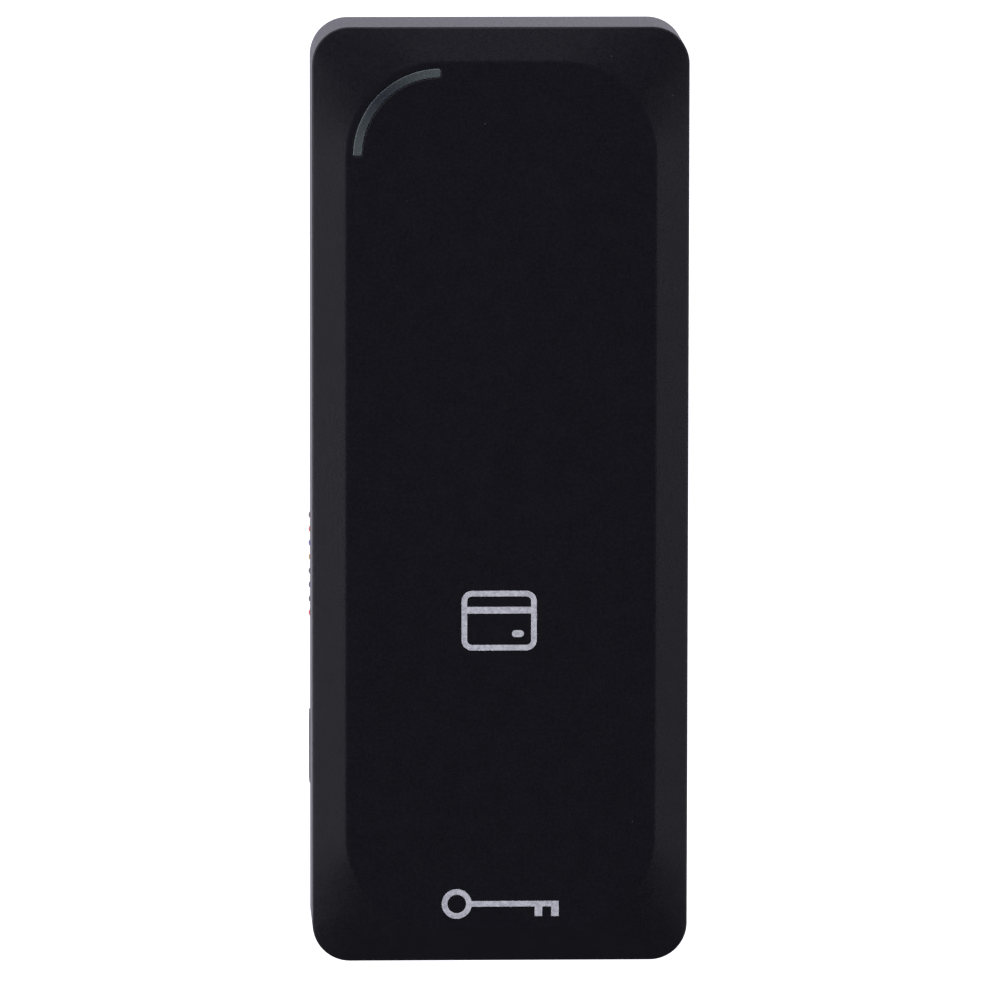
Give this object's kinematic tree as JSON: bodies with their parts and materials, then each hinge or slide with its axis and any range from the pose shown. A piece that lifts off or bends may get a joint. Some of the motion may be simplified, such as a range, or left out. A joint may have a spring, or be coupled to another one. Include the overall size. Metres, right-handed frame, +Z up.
{
  "type": "rfid card reader",
  "caption": "Slim upright card reader for a door frame: black shell with a raised panel and a quarter-ring light, hung on a folded wall bracket, wired with a short harness.",
  "frame": {"origin": "middle of the bracket's wall screw pattern, on the wall plane", "axes": "+Z up, -Y out of the wall towards the card, +X to the right as the user sees it"},
  "size_m": [0.05, 0.0315, 0.125],
  "materials": {
    "cover_plastic": "fine moulded texture",
    "housing_plastic": "moulded",
    "light_guide": "frosted, unlit",
    "silver_ink": "metallic pad print",
    "bracket_steel": "zinc plated sheet",
    "screw_steel": "plated",
    "board": "solder resist on glass laminate",
    "chip_black": "moulded epoxy",
    "copper": "enamelled copper",
    "tin": "tinned",
    "rubber": "soft moulded",
    "label_film": "blank silver film",
    "light_chip": "white package with yellow lens",
    "plug_plastic": "moulded nylon",
    "contact_metal": "plated",
    "plunger_plastic": "acetal",
    "wire_brown": "PVC",
    "wire_orange": "PVC",
    "wire_blue": "PVC",
    "wire_yellow": "PVC",
    "wire_black": "PVC",
    "wire_violet": "PVC",
    "wire_green": "PVC",
    "wire_red": "PVC"
  },
  "bodies": {
    "bracket": {"wall_bracket": "bracket_steel", "wire_brown": "wire_brown", "wire_orange": "wire_orange", "wire_blue": "wire_blue", "wire_yellow": "wire_yellow", "wire_black": "wire_black", "wire_violet": "wire_violet", "wire_green": "wire_green", "wire_red": "wire_red", "harness_connector": "plug_plastic", "harness_contacts": "contact_metal"},
    "reader": {"front_cover": "cover_plastic", "light_guide": "light_guide", "card_icon_print": "silver_ink", "key_icon_print": "silver_ink", "main_board": "board", "led_chips": "light_chip", "antenna_coil": "copper", "antenna_traces": "copper", "controller_chip": "chip_black", "radio_chip": "chip_black", "crystal": "tin", "voltage_regulator": "chip_black", "capacitors": "tin", "passives": "label_film", "buzzer": "chip_black", "wire_stubs": "wire_black", "wire_terminals": "tin", "cable_grommet": "rubber", "rear_housing": "housing_plastic", "housing_gasket": "rubber", "housing_screws": "screw_steel", "board_screws": "screw_steel", "rating_label": "label_film", "tamper_switch": "chip_black"},
    "tamper_plunger": {"tamper_plunger": "plunger_plastic"},
    "lock_seal": {"lock_screw_seal": "rubber"},
    "lock_screw": {"lock_screw": "screw_steel"}
  },
  "joints": [
    {"name": "reader_swing", "type": "hinge", "parent": "bracket", "child": "reader", "pos_m": [0, -0.003, 0.056], "axis": [-1, 0, 0], "range_deg": [0, 8]},
    {"name": "tamper_press", "type": "slide", "parent": "reader", "child": "tamper_plunger", "axis": [0, 1, 0], "range_m": [-0.0015, 0], "stiffness_N_per_m": 200},
    {"name": "lock_travel", "type": "slide", "parent": "reader", "child": "lock_seal", "axis": [0, 0, 1], "range_m": [0, 0.003]},
    {"name": "lock_turn", "type": "hinge", "parent": "lock_seal", "child": "lock_screw", "pos_m": [0, -0.0075, -0.0624], "axis": [0, 0, 1], "range_deg": [0, 2160]}
  ],
  "couplings": [
    {"joint": "lock_turn", "follows": "lock_travel", "rad_per_m": 12566}
  ]
}
